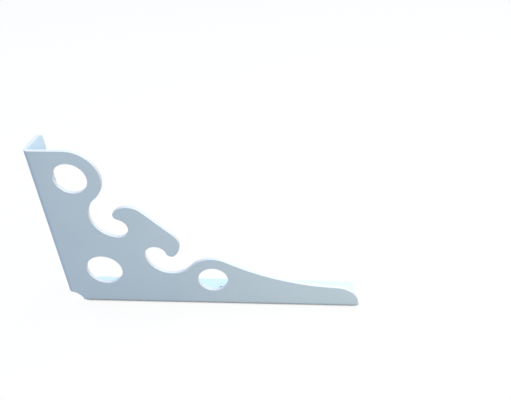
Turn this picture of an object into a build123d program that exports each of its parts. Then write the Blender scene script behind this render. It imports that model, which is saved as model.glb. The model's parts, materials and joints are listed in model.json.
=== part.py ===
from build123d import *
import os
from math import isclose, sqrt

# A shelf bracket folded from one piece of sheet steel. X runs out from the wall along the long flange,
# Y runs across both flanges from the plate's open face, and Z runs up along the wall flange.
# The origin is under the middle of the whole bracket, at the height of its lowest face.
# All sizes are in millimetres and all turns in degrees.

# Sheet, folds and flanges
sheet = 3.0
bend_radius = 2.0
plate_length = 250.0
plate_height = 150.0
flange_width = 28.5
corner_radius = 5.0
notch_radius = 13.0

# Large round holes in the plate. The two rail holes each have a round rim of metal, the humps of the outline.
rail_hole_radius = 12.5
rail_hole_setback = 29.0
rail_rim = 9.9
corner_hole_radius = 14.85
corner_hole_setback = 37.0
corner_hole_height = 38.8

# Cut outline, as the radius and the turn of each arc in order from the top edge
hump_turn = 140.8
gullet_radius = 20.5
gullet_turn = 134.8
pocket_radius = 8.9
pocket_turn = 172.0
nose_radius = 4.1
nose_turn = 118.5
crown_radius = 14.4
land_slope = 45.0
land_length = 31.0
tail_radius = 211.0
tip_radius = 21.2
tip_rise = 2.0

# Screw holes in the flanges
screw_hole_radius = 2.5
wall_screw_count = 2
wall_screw_spacing = 90.0
seat_screw_count = 3
seat_screw_spacing = 90.0

# Sizes that follow from the ones above
fold = bend_radius + sheet
flange_start = sqrt(notch_radius**2 - fold**2)
screw_line = (fold + flange_width) / 2
wall_flange_middle = (flange_start + plate_height) / 2
seat_flange_middle = (flange_start + plate_length) / 2
hump_radius = rail_hole_radius + rail_rim
crown_turn = land_slope - hump_turn + gullet_turn + pocket_turn - nose_turn
upper_hole = Vector(rail_hole_setback, plate_height - hump_radius)
corner_hole = Vector(corner_hole_setback, corner_hole_height)
tip_centre = Vector(plate_length - sqrt(tip_radius**2 - (fold - tip_rise) ** 2), tip_rise)

# Every sketch is measured from the corner where the plate's face, the wall and the seat would meet
corner = Vector(-plate_length / 2, -flange_width / 2, 0)
plate_face = Plane(origin=corner, x_dir=(1, 0, 0), z_dir=(0, -1, 0))
wall_face = Plane(origin=corner, x_dir=(0, 1, 0), z_dir=(1, 0, 0))
seat_face = Plane(origin=corner)
seat_section = wall_face.offset(plate_length)
wall_section = Plane(origin=corner + (0, 0, plate_height), x_dir=(0, 1, 0), z_dir=(0, 0, -1))


def arc_after(line, radius, turn):
    """An arc that runs on smoothly from the end of a line. Positive turns go left."""
    return JernArc(start=line @ 1, tangent=line % 1, radius=radius, arc_size=turn)


def reflect(point, plane):
    """Where a point lands when it is mirrored in a plane."""
    return point - plane.z_dir * 2 * (point - plane.origin).dot(plane.z_dir)


def blend_centre(first, first_radius, second, second_radius, radius):
    """The centre of the arc of a given radius that touches two circles from above."""
    gap = second - first
    along = ((radius + first_radius) ** 2 - (radius + second_radius) ** 2 + gap.length**2) / (2 * gap.length)
    across = sqrt((radius + first_radius) ** 2 - along**2)
    return first + gap.normalized() * along + gap.normalized().rotate(Axis.Z, 90) * across


def toward(centre, target, distance):
    """The point at a distance from a centre, on the line to a target."""
    return centre + (target - centre).normalized() * distance


with BuildPart() as bracket:
    # The flat plate, from its two fold lines to its cut outline
    with BuildSketch(plate_face) as plate:
        with BuildLine() as outline:
            top = Line((fold, plate_height), (rail_hole_setback, plate_height))
            hump = arc_after(top, hump_radius, -hump_turn)
            gullet = arc_after(hump, gullet_radius, gullet_turn)
            pocket = arc_after(gullet, pocket_radius, pocket_turn)
            nose = arc_after(pocket, nose_radius, -nose_turn)
            crown = arc_after(nose, crown_radius, -crown_turn)
            land = Line(crown @ 1, crown @ 1 + (crown % 1) * land_length / 2)

            # The lower hook is the mirror image of the upper one, about the middle of the land
            facing = Plane(origin=land @ 1, z_dir=land % 1)
            mirror([gullet, pocket, nose, crown, land], about=facing)
            front_hole = reflect(upper_hole, facing)

            # The outline comes off the front hump into the long tail and round the tip
            tail_centre = blend_centre(front_hole, hump_radius, tip_centre, tip_radius, tail_radius)
            tail_start = toward(front_hole, tail_centre, hump_radius)
            tail_end = toward(tip_centre, tail_centre, tip_radius)
            RadiusArc(reflect(hump @ 1, facing), tail_start, hump_radius)
            RadiusArc(tail_start, tail_end, -tail_radius)
            RadiusArc(tail_end, (plate_length, fold), tip_radius)
            Line((plate_length, fold), (flange_start, fold))
            RadiusArc((flange_start, fold), (fold, flange_start), -notch_radius)
            Line((fold, flange_start), (fold, plate_height))
        make_face()
        with Locations(upper_hole, front_hole):
            Circle(rail_hole_radius, mode=Mode.SUBTRACT)
        with Locations(corner_hole):
            Circle(corner_hole_radius, mode=Mode.SUBTRACT)
    extrude(amount=-sheet)

    # The two flanges, each with the fold that joins it to the plate
    flanges = ((seat_section, flange_start - plate_length), (wall_section, plate_height - flange_start))
    for end, reach in flanges:
        with BuildSketch(end) as section:
            with BuildLine():
                outside = CenterArc((fold, fold), fold, 180, 90)
                inside = CenterArc((fold, fold), bend_radius, 180, 90)
                Polyline(outside @ 1, (flange_width, 0), (flange_width, sheet), inside @ 1)
                Line(outside @ 0, inside @ 0)
            make_face()
        extrude(amount=reach)
    free_corners = bracket.edges().group_by(Axis.Y)[-1].filter_by(lambda edge: isclose(edge.length, sheet))
    fillet(free_corners, corner_radius)

    # Screw holes along the middle of each flange's flat
    with BuildSketch(wall_face) as wall_screws:
        with Locations((screw_line, wall_flange_middle)):
            with GridLocations(0, wall_screw_spacing, 1, wall_screw_count):
                Circle(screw_hole_radius)
    extrude(amount=sheet, mode=Mode.SUBTRACT)
    with BuildSketch(seat_face) as seat_screws:
        with Locations((seat_flange_middle, screw_line)):
            with GridLocations(seat_screw_spacing, 0, seat_screw_count, 1):
                Circle(screw_hole_radius)
    extrude(amount=sheet, mode=Mode.SUBTRACT)

bracket.part.label = "bracket"
os.makedirs("parts", exist_ok=True)
export_step(bracket.part, "parts/bracket.step")
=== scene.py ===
"""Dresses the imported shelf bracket: one folded steel sheet under a satin white powder coat."""

from __future__ import annotations

import json
import logging
import math
from dataclasses import dataclass, field
from enum import Enum, IntEnum

import bmesh
import bpy
from mathutils import Matrix, Vector
from mathutils.bvhtree import BVHTree

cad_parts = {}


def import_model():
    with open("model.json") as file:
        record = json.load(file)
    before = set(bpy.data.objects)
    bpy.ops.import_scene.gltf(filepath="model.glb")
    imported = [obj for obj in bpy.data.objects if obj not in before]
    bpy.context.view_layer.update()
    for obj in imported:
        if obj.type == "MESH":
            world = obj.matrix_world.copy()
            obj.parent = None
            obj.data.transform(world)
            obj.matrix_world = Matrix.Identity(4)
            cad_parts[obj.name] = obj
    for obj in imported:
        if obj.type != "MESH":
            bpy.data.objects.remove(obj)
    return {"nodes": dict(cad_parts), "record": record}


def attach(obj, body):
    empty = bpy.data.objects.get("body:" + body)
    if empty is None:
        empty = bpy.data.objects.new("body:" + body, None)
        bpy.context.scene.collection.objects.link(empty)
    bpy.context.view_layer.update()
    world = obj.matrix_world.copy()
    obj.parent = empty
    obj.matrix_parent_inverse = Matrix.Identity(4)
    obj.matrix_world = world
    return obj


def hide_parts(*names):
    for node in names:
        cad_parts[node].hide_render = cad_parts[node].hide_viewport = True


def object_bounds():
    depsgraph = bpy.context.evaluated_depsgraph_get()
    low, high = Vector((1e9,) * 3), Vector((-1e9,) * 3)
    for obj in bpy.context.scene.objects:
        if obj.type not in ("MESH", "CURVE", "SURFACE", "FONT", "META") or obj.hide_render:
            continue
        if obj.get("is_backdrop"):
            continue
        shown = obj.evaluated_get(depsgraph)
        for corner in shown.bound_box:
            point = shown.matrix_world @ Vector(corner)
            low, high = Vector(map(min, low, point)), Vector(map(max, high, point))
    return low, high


MM = 0.001
IMAGE_WIDTH = 511
SENSOR_WIDTH = 36.0

log = logging.getLogger("shelf_bracket")

# Red, green and blue as they show on screen, 0 to 255
ScreenColour = tuple[float, float, float]

# Linear red, green and blue of the light from a lamp or the sky
LightTint = tuple[float, float, float]
WHITE: LightTint = (1.0, 1.0, 1.0)
COOL_WHITE: LightTint = (0.94, 1.0, 1.04)
AMBER: LightTint = (1.0, 0.82, 0.5)


class SocketKind(Enum):
    """Kinds of socket on a node group."""

    NUMBER = "NodeSocketFloat"
    VECTOR = "NodeSocketVector"


class Surface(IntEnum):
    """Places of the sheet's finishes in its list of materials."""

    BROAD = 0
    # The screw holes' walls, which take a dark grey as painted shade
    BORE = 1
    RIM = 2


def linear(colour: ScreenColour) -> tuple[float, float, float, float]:
    """Turns a screen colour into the linear colour that shaders take, by the sRGB curve.

    Args:
        colour: The colour as it shows on screen.

    Returns:
        The linear colour with full opacity.
    """

    def one(value: float) -> float:
        """Turns one channel, from 0 to 255."""
        share = value / 255
        return share / 12.92 if share <= 0.04045 else ((share + 0.055) / 1.055) ** 2.4

    red, green, blue = colour
    return one(red), one(green), one(blue), 1.0


@dataclass
class NodeKit:
    """Adds nodes to a tree and joins them."""

    tree: bpy.types.NodeTree

    def add(self, kind: str, **settings: object) -> bpy.types.Node:
        """Adds one node.

        Args:
            kind: Blender's name for the node type.
            **settings: Properties to set on the node.

        Returns:
            The new node.
        """
        node = self.tree.nodes.new(kind)
        for name, value in settings.items():
            setattr(node, name, value)
        return node

    def link(self, source: bpy.types.NodeSocket, target: bpy.types.NodeSocket) -> None:
        """Joins an output to an input."""
        self.tree.links.new(source, target)

    def noise(
        self, place: bpy.types.NodeSocket, scale: bpy.types.NodeSocket, detail: float
    ) -> bpy.types.Node:
        """Adds a solid noise.

        Args:
            place: Where the noise is read.
            scale: How many features it has to the millimetre.
            detail: How many finer layers it has.

        Returns:
            The noise node.
        """
        node = self.add("ShaderNodeTexNoise", noise_dimensions="3D")
        node.inputs["Detail"].default_value = detail
        self.link(place, node.inputs["Vector"])
        self.link(scale, node.inputs["Scale"])
        return node

    def compute(
        self, operation: str, first: bpy.types.NodeSocket, second: bpy.types.NodeSocket | float
    ) -> bpy.types.NodeSocket:
        """Adds a calculation on two numbers.

        Args:
            operation: Blender's name for the calculation.
            first: The first number.
            second: The second number.

        Returns:
            The result.
        """
        node = self.add("ShaderNodeMath", operation=operation)
        self.link(first, node.inputs[0])
        if isinstance(second, float):
            node.inputs[1].default_value = second
        else:
            self.link(second, node.inputs[1])
        return node.outputs["Value"]

    def mix_shaders(
        self,
        share: bpy.types.NodeSocket,
        first: bpy.types.NodeSocket,
        second: bpy.types.NodeSocket,
    ) -> bpy.types.NodeSocket:
        """Mixes two shaders.

        Args:
            share: The share of the second, from 0 to 1.
            first: The first shader.
            second: The second shader.

        Returns:
            The mixed shader.
        """
        mix = self.add("ShaderNodeMixShader")
        for source, target in zip((share, first, second), mix.inputs):
            self.link(source, target)
        return mix.outputs["Shader"]

    def place_in_mm(self) -> bpy.types.NodeSocket:
        """Adds the nodes that give a place on a piece.

        Returns:
            The place, in millimetres.
        """
        place = self.add("ShaderNodeTexCoord")
        in_mm = self.add("ShaderNodeMapping")
        in_mm.inputs["Scale"].default_value = (1 / MM, 1 / MM, 1 / MM)
        self.link(place.outputs["Object"], in_mm.inputs["Vector"])
        return in_mm.outputs["Vector"]

    def clouds(
        self, place: bpy.types.NodeSocket, per_mm: float, low: float = 0.0, high: float = 1.0
    ) -> bpy.types.NodeSocket:
        """Places the shared group of clouds in the tree, with values of its own.

        Args:
            place: Where the clouds are read, in millimetres.
            per_mm: How many clouds there are to the millimetre.
            low: The mask's lowest value.
            high: The mask's highest value.

        Returns:
            The mask.
        """
        group = self.add("ShaderNodeGroup", node_tree=bpy.data.node_groups["coat_clouds"])
        group.inputs["Clouds Per Mm"].default_value = per_mm
        group.inputs["Low"].default_value = low
        group.inputs["High"].default_value = high
        self.link(place, group.inputs["Place"])
        return group.outputs["Mask"]

    def tint(
        self, mask: bpy.types.NodeSocket, first: ScreenColour, second: ScreenColour
    ) -> bpy.types.NodeSocket:
        """Mixes two colours by a mask.

        Args:
            mask: The share of the second, from 0 to 1.
            first: The first colour.
            second: The second colour.

        Returns:
            The mixed colour.
        """
        mix = self.add("ShaderNodeMix", data_type="RGBA")
        mix.inputs["A"].default_value = linear(first)
        mix.inputs["B"].default_value = linear(second)
        self.link(mask, mix.inputs["Factor"])
        return mix.outputs["Result"]


def empty_material(name: str) -> tuple[bpy.types.Material, NodeKit]:
    """Makes a material that has no nodes yet.

    Args:
        name: The material's name.

    Returns:
        The material, and a kit on its tree.
    """
    made = bpy.data.materials.new(name)
    made.use_nodes = True
    made.node_tree.nodes.clear()
    return made, NodeKit(made.node_tree)


def empty_group(name: str, numbers: dict[str, float], result: str) -> NodeKit:
    """Makes a node group that takes a place and some numbers and puts out one number.

    Args:
        name: The group's name.
        numbers: Each number's name, and its value where nothing is linked.
        result: The name of what it puts out.

    Returns:
        A kit on the group's tree, which has no nodes yet.
    """
    number, vector = SocketKind.NUMBER.value, SocketKind.VECTOR.value
    tree = bpy.data.node_groups.new(name, "ShaderNodeTree")
    tree.interface.new_socket(name="Place", in_out="INPUT", socket_type=vector)
    for label, value in numbers.items():
        socket = tree.interface.new_socket(name=label, in_out="INPUT", socket_type=number)
        socket.default_value = value
    tree.interface.new_socket(name=result, in_out="OUTPUT", socket_type=number)
    return NodeKit(tree)


@dataclass(frozen=True)
class OrangePeel:
    """The node group for the fine pebbled skin that powder coat cures to."""

    pebbles_per_mm: float = 0.6
    pebble_detail: float = 2.0
    pebble_roughness: float = 0.45
    waves_per_mm: float = 0.12
    wave_detail: float = 1.0
    wave_share: float = 0.4

    def group(self) -> bpy.types.NodeTree:
        """Builds the group.

        Returns:
            A group that turns a place in millimetres into a height from 0 to 1.
        """
        numbers = {
            "Pebbles Per Mm": self.pebbles_per_mm,
            "Waves Per Mm": self.waves_per_mm,
            "Wave Share": self.wave_share,
        }
        kit = empty_group("orange_peel", numbers, "Height")
        given = kit.add("NodeGroupInput").outputs
        pebbles = kit.noise(given["Place"], given["Pebbles Per Mm"], self.pebble_detail)
        pebbles.inputs["Roughness"].default_value = self.pebble_roughness
        waves = kit.noise(given["Place"], given["Waves Per Mm"], self.wave_detail)
        blend = kit.add("ShaderNodeMix", data_type="FLOAT")
        kit.link(given["Wave Share"], blend.inputs["Factor"])
        kit.link(pebbles.outputs["Fac"], blend.inputs["A"])
        kit.link(waves.outputs["Fac"], blend.inputs["B"])
        kit.link(blend.outputs["Result"], kit.add("NodeGroupOutput").inputs["Height"])
        return kit.tree


@dataclass(frozen=True)
class CoatClouds:
    """The node group for slow, soft changes across a surface."""

    clouds_per_mm: float = 0.02
    detail: float = 3.0
    darkest: float = 0.3
    brightest: float = 0.7

    def group(self) -> bpy.types.NodeTree:
        """Builds the group.

        Returns:
            A group that turns a place in millimetres into a mask from low to high.
        """
        numbers = {"Clouds Per Mm": self.clouds_per_mm, "Low": 0.0, "High": 1.0}
        kit = empty_group("coat_clouds", numbers, "Mask")
        given = kit.add("NodeGroupInput").outputs
        clouds = kit.noise(given["Place"], given["Clouds Per Mm"], self.detail)
        spread = kit.add("ShaderNodeMapRange", interpolation_type="SMOOTHSTEP")
        spread.inputs["From Min"].default_value = self.darkest
        spread.inputs["From Max"].default_value = self.brightest
        kit.link(clouds.outputs["Fac"], spread.inputs["Value"])
        kit.link(given["Low"], spread.inputs["To Min"])
        kit.link(given["High"], spread.inputs["To Max"])
        kit.link(spread.outputs["Result"], kit.add("NodeGroupOutput").inputs["Mask"])
        return kit.tree


@dataclass(frozen=True)
class DustSpecks:
    """The node group for the odd speck of dust that settles in a coat before it cures."""

    specks_per_mm: float = 0.14
    speck_size: float = 0.05

    def group(self) -> bpy.types.NodeTree:
        """Builds the group.

        Returns:
            A group that turns a place in millimetres into a mask that is 1 on a speck.
        """
        numbers = {"Specks Per Mm": self.specks_per_mm, "Speck Size": self.speck_size}
        kit = empty_group("dust_specks", numbers, "Mask")
        given = kit.add("NodeGroupInput").outputs
        cells = kit.add("ShaderNodeTexVoronoi", voronoi_dimensions="3D", feature="F1")
        kit.link(given["Place"], cells.inputs["Vector"])
        kit.link(given["Specks Per Mm"], cells.inputs["Scale"])
        inside = kit.compute("LESS_THAN", cells.outputs["Distance"], given["Speck Size"])
        kit.link(inside, kit.add("NodeGroupOutput").inputs["Mask"])
        return kit.tree


@dataclass(frozen=True)
class PowderCoat:
    """A satin white powder coat on steel."""

    name: str = "powder_coat"
    colour: ScreenColour = (221.0, 242.0, 251.0)
    thin_colour: ScreenColour = (217.0, 238.0, 248.0)
    speck_colour: ScreenColour = (203.0, 222.0, 232.0)
    refraction: float = 1.5
    tint_clouds_per_mm: float = 0.02
    gloss_clouds_per_mm: float = 0.05
    roughness_low: float = 0.36
    roughness_high: float = 0.44
    peel_strength: float = 0.18
    peel_depth: float = 0.02 * MM

    def material(self) -> bpy.types.Material:
        """Builds the coat as a procedural material.

        Returns:
            The finished material.
        """
        made, kit = empty_material(self.name)
        output = kit.add("ShaderNodeOutputMaterial")
        coat = kit.add("ShaderNodeBsdfPrincipled")
        coat.inputs["IOR"].default_value = self.refraction
        kit.link(coat.outputs["BSDF"], output.inputs["Surface"])

        place = kit.place_in_mm()
        gloss = kit.clouds(
            place, self.gloss_clouds_per_mm, self.roughness_low, self.roughness_high
        )
        kit.link(self._colour(kit, place), coat.inputs["Base Color"])
        kit.link(gloss, coat.inputs["Roughness"])
        kit.link(self._skin(kit, place), coat.inputs["Normal"])
        return made

    def _colour(self, kit: NodeKit, place: bpy.types.NodeSocket) -> bpy.types.NodeSocket:
        """Tints the coat where it lies thin and sets the odd speck in it.

        Args:
            kit: The material's tree.
            place: A place in millimetres.

        Returns:
            The coat's colour there.
        """
        clouds = kit.clouds(place, self.tint_clouds_per_mm)
        specks = kit.add("ShaderNodeGroup", node_tree=bpy.data.node_groups["dust_specks"])
        kit.link(place, specks.inputs["Place"])
        speckled = kit.add("ShaderNodeMix", data_type="RGBA")
        speckled.inputs["B"].default_value = linear(self.speck_colour)
        kit.link(specks.outputs["Mask"], speckled.inputs["Factor"])
        kit.link(kit.tint(clouds, self.thin_colour, self.colour), speckled.inputs["A"])
        return speckled.outputs["Result"]

    def _skin(self, kit: NodeKit, place: bpy.types.NodeSocket) -> bpy.types.NodeSocket:
        """Gives the coat its pebbled skin.

        Args:
            kit: The material's tree.
            place: A place in millimetres.

        Returns:
            The normal of the skin there.
        """
        peel = kit.add("ShaderNodeGroup", node_tree=bpy.data.node_groups["orange_peel"])
        bump = kit.add("ShaderNodeBump")
        bump.inputs["Strength"].default_value = self.peel_strength
        bump.inputs["Distance"].default_value = self.peel_depth
        kit.link(place, peel.inputs["Place"])
        kit.link(peel.outputs["Height"], bump.inputs["Height"])
        return bump.outputs["Normal"]


# The same coat where it lies on the cut edges, which show a more neutral white
RIM_COAT = PowderCoat(
    name="rim_coat",
    colour=(223.0, 230.0, 232.0),
    thin_colour=(219.0, 226.0, 229.0),
    speck_colour=(206.0, 213.0, 216.0),
)


@dataclass(frozen=True)
class PaintedBoreShade:
    """Painted shade on a screw hole's wall: a dull dark grey, darker in random patches, that stands
    in for the shade deep in the hole.
    """

    # Painted shade: the dark grey of the screw holes' walls, and the darker grey of its random
    # patches
    colour: ScreenColour = (72.0, 82.0, 88.0)
    deeper_shade_colour: ScreenColour = (40.0, 47.0, 51.0)
    metallic: float = 0.3
    shade_patches_per_mm: float = 0.7
    gloss_clouds_per_mm: float = 1.1
    roughness_low: float = 0.45
    roughness_high: float = 0.65

    def material(self) -> bpy.types.Material:
        """Builds the painted shade of the screw holes' walls as a procedural material.

        Returns:
            The finished material.
        """
        made, kit = empty_material("painted_bore_shade")
        output = kit.add("ShaderNodeOutputMaterial")
        # Painted shade: a dark, part metallic grey that stands in for the shade inside each screw
        # hole
        steel = kit.add("ShaderNodeBsdfPrincipled")
        steel.inputs["Metallic"].default_value = self.metallic
        kit.link(steel.outputs["BSDF"], output.inputs["Surface"])

        place = kit.place_in_mm()
        # Random darker patches across the painted shade
        shade_patches = kit.clouds(place, self.shade_patches_per_mm)
        gloss = kit.clouds(
            place, self.gloss_clouds_per_mm, self.roughness_low, self.roughness_high
        )
        kit.link(kit.tint(shade_patches, self.deeper_shade_colour, self.colour), steel.inputs["Base Color"])
        kit.link(gloss, steel.inputs["Roughness"])
        return made


@dataclass(frozen=True)
class WhiteGround:
    """A floor that is white to the camera and darkens where the bracket closes over it.

    It keeps a faint shadow, and sends the bracket less light than its white would.
    """

    colour: ScreenColour = (250.0, 250.0, 250.0)
    bounce_colour: ScreenColour = (126.0, 128.0, 132.0)
    glow_share: float = 0.9
    mirrored_share: float = 0.4
    contact_reach: float = 8.0 * MM
    contact_samples: int = 16
    contact_dark: float = 0.11
    contact_clear: float = 0.36

    def material(self) -> bpy.types.Material:
        """Builds the floor's material.

        Returns:
            A matt white with a glow over it that only the camera and glossy rays see.
        """
        made, kit = empty_material("white_ground")
        output = kit.add("ShaderNodeOutputMaterial")
        path = kit.add("ShaderNodeLightPath").outputs
        matt = kit.add("ShaderNodeBsdfDiffuse")
        matt_colour = kit.tint(path["Is Camera Ray"], self.bounce_colour, self.colour)
        kit.link(matt_colour, matt.inputs["Color"])
        glow = kit.add("ShaderNodeEmission")
        kit.link(self._open_share(kit), glow.inputs["Strength"])
        mirrored = kit.compute("MULTIPLY", path["Is Glossy Ray"], self.mirrored_share)
        seen = kit.compute("MAXIMUM", path["Is Camera Ray"], mirrored)
        share = kit.compute("MULTIPLY", seen, self.glow_share)
        mixed = kit.mix_shaders(share, matt.outputs["BSDF"], glow.outputs["Emission"])
        kit.link(mixed, output.inputs["Surface"])
        return made

    def _open_share(self, kit: NodeKit) -> bpy.types.NodeSocket:
        """Measures how open the floor is to the light, close under the bracket.

        Args:
            kit: The material's tree.

        Returns:
            A share that is 0 in the gap under the fold and 1 on open floor.
        """
        closed_over = kit.add("ShaderNodeAmbientOcclusion", samples=self.contact_samples)
        closed_over.inputs["Distance"].default_value = self.contact_reach
        open_share = kit.add("ShaderNodeMapRange", interpolation_type="SMOOTHSTEP")
        open_share.inputs["From Min"].default_value = self.contact_dark
        open_share.inputs["From Max"].default_value = self.contact_clear
        kit.link(closed_over.outputs["AO"], open_share.inputs["Value"])
        return open_share.outputs["Result"]


@dataclass
class FoldedSheet:
    """The bracket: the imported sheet, with its edges rounded as deburring and coating leave them."""

    node: str = "bracket"
    name: str = "coated_sheet"
    merge_reach: float = 0.001 * MM
    flat_angle: float = math.radians(0.5)
    edge_radius: float = 0.45 * MM
    edge_segments: int = 3
    edge_angle: float = math.radians(50)
    flat_weight: int = 100
    screw_hole_radius: float = 2.5 * MM
    screw_hole_margin: float = 0.02 * MM
    thickness_limit: float = 3.15 * MM
    probe_inset: float = 0.1 * MM
    probe_depth: float = 0.01 * MM
    coat: PowderCoat = PowderCoat()
    # Painted shade for the screw holes' walls
    bore_shade: PaintedBoreShade = PaintedBoreShade()
    rim_coat: PowderCoat = RIM_COAT

    def build(
        self, source: bpy.types.Object, axes: list[tuple[Vector, Vector]]
    ) -> bpy.types.Object:
        """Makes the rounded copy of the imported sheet.

        Args:
            source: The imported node.
            axes: A place on each screw hole's axis, and the axis.

        Returns:
            The new piece, in place of the node.
        """
        mesh = bmesh.new()
        mesh.from_mesh(source.data)
        bmesh.ops.remove_doubles(mesh, verts=mesh.verts, dist=self.merge_reach)
        bmesh.ops.dissolve_limit(
            mesh, angle_limit=self.flat_angle, verts=mesh.verts, edges=mesh.edges
        )
        sharp = [edge for edge in mesh.edges if self._is_sharp(edge)]
        bmesh.ops.bevel(
            mesh, geom=sharp, offset=self.edge_radius, offset_type="OFFSET",
            segments=self.edge_segments, profile=0.5, affect="EDGES", clamp_overlap=True,
            material=-1,
        )
        mesh.normal_update()
        solid = BVHTree.FromBMesh(mesh)
        for face in mesh.faces:
            face.smooth = True
            face.material_index = self._surface(face, solid, axes)
        data = bpy.data.meshes.new(self.name)
        mesh.to_mesh(data)
        mesh.free()
        piece = bpy.data.objects.new(self.name, data)
        bpy.context.scene.collection.objects.link(piece)
        weigh = piece.modifiers.new("flat_faces_stay_flat", "WEIGHTED_NORMAL")
        weigh.weight = self.flat_weight
        return piece

    def dress(self, piece: bpy.types.Object) -> None:
        """Gives the piece its finishes and its place on the frame.

        Args:
            piece: The rounded sheet.
        """
        finishes = {
            Surface.BROAD: self.coat,
            # The screw holes' walls take a dark grey as painted shade
            Surface.BORE: self.bore_shade,
            Surface.RIM: self.rim_coat,
        }
        for surface in Surface:
            piece.data.materials.append(finishes[surface].material())
        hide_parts(self.node)
        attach(piece, "root")

    def _is_sharp(self, edge: bmesh.types.BMEdge) -> bool:
        """Says whether the sheet turns sharply at an edge.

        Args:
            edge: An edge of the merged sheet.

        Returns:
            True where a broad face meets a cut one.
        """
        return edge.is_manifold and edge.calc_face_angle(0.0) > self.edge_angle

    def _surface(
        self, face: bmesh.types.BMFace, solid: BVHTree, axes: list[tuple[Vector, Vector]]
    ) -> Surface:
        """Says which finish a face takes.

        Args:
            face: A face of the rounded sheet.
            solid: The whole rounded sheet, to cast rays in.
            axes: A place on each screw hole's axis, and the axis.

        Returns:
            The face's finish.
        """
        if self._lines_a_screw_hole(face, axes):
            return Surface.BORE
        return Surface.RIM if self._is_cut(face, solid) else Surface.BROAD

    def _lines_a_screw_hole(
        self, face: bmesh.types.BMFace, axes: list[tuple[Vector, Vector]]
    ) -> bool:
        """Says whether a face is part of a screw hole's wall or of the rounding at its ends.

        Args:
            face: A face of the rounded sheet.
            axes: A place on each screw hole's axis, and the axis.

        Returns:
            True where every corner of the face lies close to one axis.
        """
        reach = self.screw_hole_radius + self.edge_radius + self.screw_hole_margin
        for place, along in axes:
            offsets = [corner.co - place for corner in face.verts]
            if all((offset - along * offset.dot(along)).length < reach for offset in offsets):
                return True
        return False

    def _is_cut(self, face: bmesh.types.BMFace, solid: BVHTree) -> bool:
        """Says whether a face is part of a cut edge.

        Args:
            face: A face of the rounded sheet.
            solid: The whole rounded sheet, to cast rays in.

        Returns:
            True where the sheet is deeper behind the face than it is thick.
        """
        start = self._point_on(face) - face.normal * self.probe_depth
        return solid.ray_cast(start, -face.normal, self.thickness_limit)[0] is None

    def _point_on(self, face: bmesh.types.BMFace) -> Vector:
        """Finds a point that is surely on a face, as the middle of one round a hole isn't.

        Args:
            face: A face of the rounded sheet.

        Returns:
            The middle of a three or four-sided face, or a point just inside another's longest side.
        """
        if len(face.verts) <= 4:
            return face.calc_center_median()
        side = max(face.loops, key=lambda loop: loop.edge.calc_length())
        along = side.link_loop_next.vert.co - side.vert.co
        inward = face.normal.cross(along).normalized()
        return side.vert.co + along / 2 + inward * self.probe_inset


def screw_axes(record: dict) -> list[tuple[Vector, Vector]]:
    """Finds the screw holes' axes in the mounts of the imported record.

    Args:
        record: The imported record.

    Returns:
        A place on each hole's axis, and the axis.
    """
    found: list[tuple[Vector, Vector]] = []
    for mount in record["mounts"]:
        place, along, dims = Vector(mount["pos_m"]), Vector(mount["axis"]), mount["dims"]
        if mount["name"] == "seat_middle_screw":
            found.append((place, along))
        elif mount["kind"] == "bolt_pattern":
            spacing = (dims.get("spacing_x_mm", 0.0), 0.0, dims.get("spacing_y_mm", 0.0))
            step = Vector(spacing) * MM / 2
            found += [(place + step, along), (place - step, along)]
    return found


@dataclass
class Softbox:
    """One soft area lamp that looks at a point."""

    name: str
    place: Vector
    target: Vector
    width: float
    height: float
    power: float
    tint: LightTint = WHITE

    def build(self) -> bpy.types.Object:
        """Hangs the lamp.

        Returns:
            The lamp's object.
        """
        lamp = bpy.data.lights.new(self.name, "AREA")
        lamp.shape = "RECTANGLE"
        lamp.size = self.width
        lamp.size_y = self.height
        lamp.energy = self.power
        lamp.color = self.tint
        hung = bpy.data.objects.new(self.name, lamp)
        hung.location = self.place
        aim = self.target - self.place
        hung.rotation_euler = aim.to_track_quat("-Z", "Y").to_euler()
        bpy.context.scene.collection.objects.link(hung)
        return hung


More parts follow.
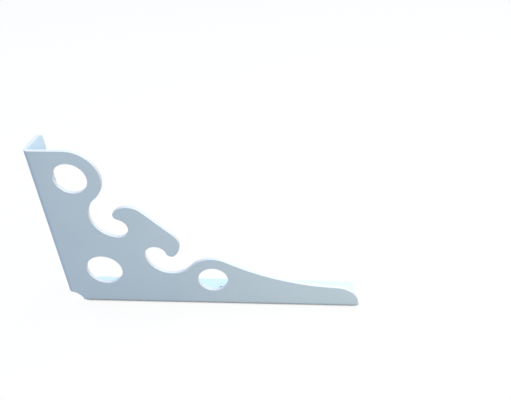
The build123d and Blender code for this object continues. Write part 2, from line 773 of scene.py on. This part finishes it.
@dataclass
class Studio:
    """The white ground, the soft lamps and the sky of the studio."""

    floor_reach: float = 6.0
    floor_gap: float = 0.02 * MM
    sky_strength: float = 0.8
    sky_tint: LightTint = (0.655, 0.735, 0.945)
    ground: WhiteGround = WhiteGround()

    def build_floor(self) -> bpy.types.Object:
        """Lays the floor just under the bracket's lowest face.

        Returns:
            The floor.
        """
        mesh = bmesh.new()
        bmesh.ops.create_grid(mesh, x_segments=1, y_segments=1, size=self.floor_reach)
        data = bpy.data.meshes.new("floor")
        mesh.to_mesh(data)
        mesh.free()
        floor = bpy.data.objects.new("floor", data)
        bpy.context.scene.collection.objects.link(floor)
        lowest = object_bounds()[0][2]
        data.transform(Matrix.Translation((0.0, 0.0, lowest - self.floor_gap)))
        data.materials.append(self.ground.material())
        floor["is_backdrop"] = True
        return floor

    def build_sky(self) -> bpy.types.World:
        """Makes a sky that is white to see and to mirror, and lights the bracket in a soft blue.

        Returns:
            The world.
        """
        world = bpy.data.worlds.new("studio_sky")
        world.use_nodes = True
        world.node_tree.nodes.clear()
        kit = NodeKit(world.node_tree)
        output = kit.add("ShaderNodeOutputWorld")
        soft = kit.add("ShaderNodeBackground")
        soft.inputs["Color"].default_value = (*self.sky_tint, 1.0)
        soft.inputs["Strength"].default_value = self.sky_strength
        white = kit.add("ShaderNodeBackground")
        white.inputs["Color"].default_value = (*WHITE, 1.0)
        path = kit.add("ShaderNodeLightPath").outputs
        seen = kit.compute("MAXIMUM", path["Is Camera Ray"], path["Is Glossy Ray"])
        mixed = kit.mix_shaders(seen, soft.outputs["Background"], white.outputs["Background"])
        kit.link(mixed, output.inputs["Surface"])
        bpy.context.scene.world = world
        return world

    def build_lamps(self, centre: Vector) -> list[bpy.types.Object]:
        """Hangs the lamps around the bracket.

        Args:
            centre: The middle of the bracket.

        Returns:
            The lamps.
        """
        overhead = Softbox(
            name="overhead", place=centre + Vector((0.8, 0.42, 1.12)), target=centre,
            width=1.5, height=1.3, power=11.3, tint=COOL_WHITE,
        )
        behind = Softbox(
            name="behind", place=centre + Vector((-0.7, 0.3, 0.9)), target=centre,
            width=0.8, height=0.8, power=3.2,
        )
        side = Softbox(
            name="side", place=centre + Vector((0.4, -0.34, 0.25)),
            target=centre + Vector((0.1, 0.0, 0.0)),
            width=0.4, height=0.4, power=1.6, tint=AMBER,
        )
        return [lamp.build() for lamp in (overhead, behind, side)]


@dataclass
class PhotoCamera:
    """The camera of the photograph, from a fit of the bracket's outline to it.

    The place is measured from the corner where the plate's face, the wall and the seat would meet.
    """

    place_mm: Vector = field(default_factory=lambda: Vector((173.25, -273.06, 303.1)))
    focal_px: float = 458.1
    pitch: float = math.radians(34.995)
    roll: float = math.radians(-0.455)
    yaw: float = math.radians(-2.244)
    nearest: float = 10.0 * MM

    def build(self, corner: Vector) -> bpy.types.Object:
        """Sets the camera up.

        Args:
            corner: The corner that the place is measured from, in metres.

        Returns:
            The camera's object.
        """
        lens = bpy.data.cameras.new("photo_camera")
        lens.sensor_fit = "HORIZONTAL"
        lens.sensor_width = SENSOR_WIDTH
        lens.lens = self.focal_px / IMAGE_WIDTH * SENSOR_WIDTH
        lens.clip_start = self.nearest
        camera = bpy.data.objects.new("photo_camera", lens)
        bpy.context.scene.collection.objects.link(camera)
        place = Matrix.Translation(corner + self.place_mm * MM)
        turn = Matrix.Rotation(-self.yaw, 4, "Z")
        level = Matrix.Rotation(math.radians(90), 4, "X")
        tilt = Matrix.Rotation(-self.pitch, 4, "X")
        lean = Matrix.Rotation(self.roll, 4, "Z")
        camera.matrix_world = place @ turn @ level @ tilt @ lean
        bpy.context.scene.camera = camera
        return camera


def main() -> None:
    """Builds the bracket, the studio and the camera in order."""
    logging.basicConfig(level=logging.INFO, format="%(name)s: %(message)s")
    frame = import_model()
    cad_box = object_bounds()
    bpy.context.scene.view_settings.view_transform = "Standard"
    for effect in (OrangePeel(), CoatClouds(), DustSpecks()):
        log.info("node group %s", effect.group().name)

    sheet = FoldedSheet()
    piece = sheet.build(frame["nodes"][sheet.node], screw_axes(frame["record"]))
    sheet.dress(piece)
    log.info("%s: %d faces", piece.name, len(piece.data.polygons))

    low, high = Vector(cad_box[0]), Vector(cad_box[1])
    studio = Studio()
    log.info("%s laid", studio.build_floor().name)
    log.info("%s set", studio.build_sky().name)
    for lamp in studio.build_lamps((low + high) / 2):
        log.info("%s hung", lamp.name)
    log.info("%s set", PhotoCamera().build(low).name)


if __name__ == "__main__":
    main()
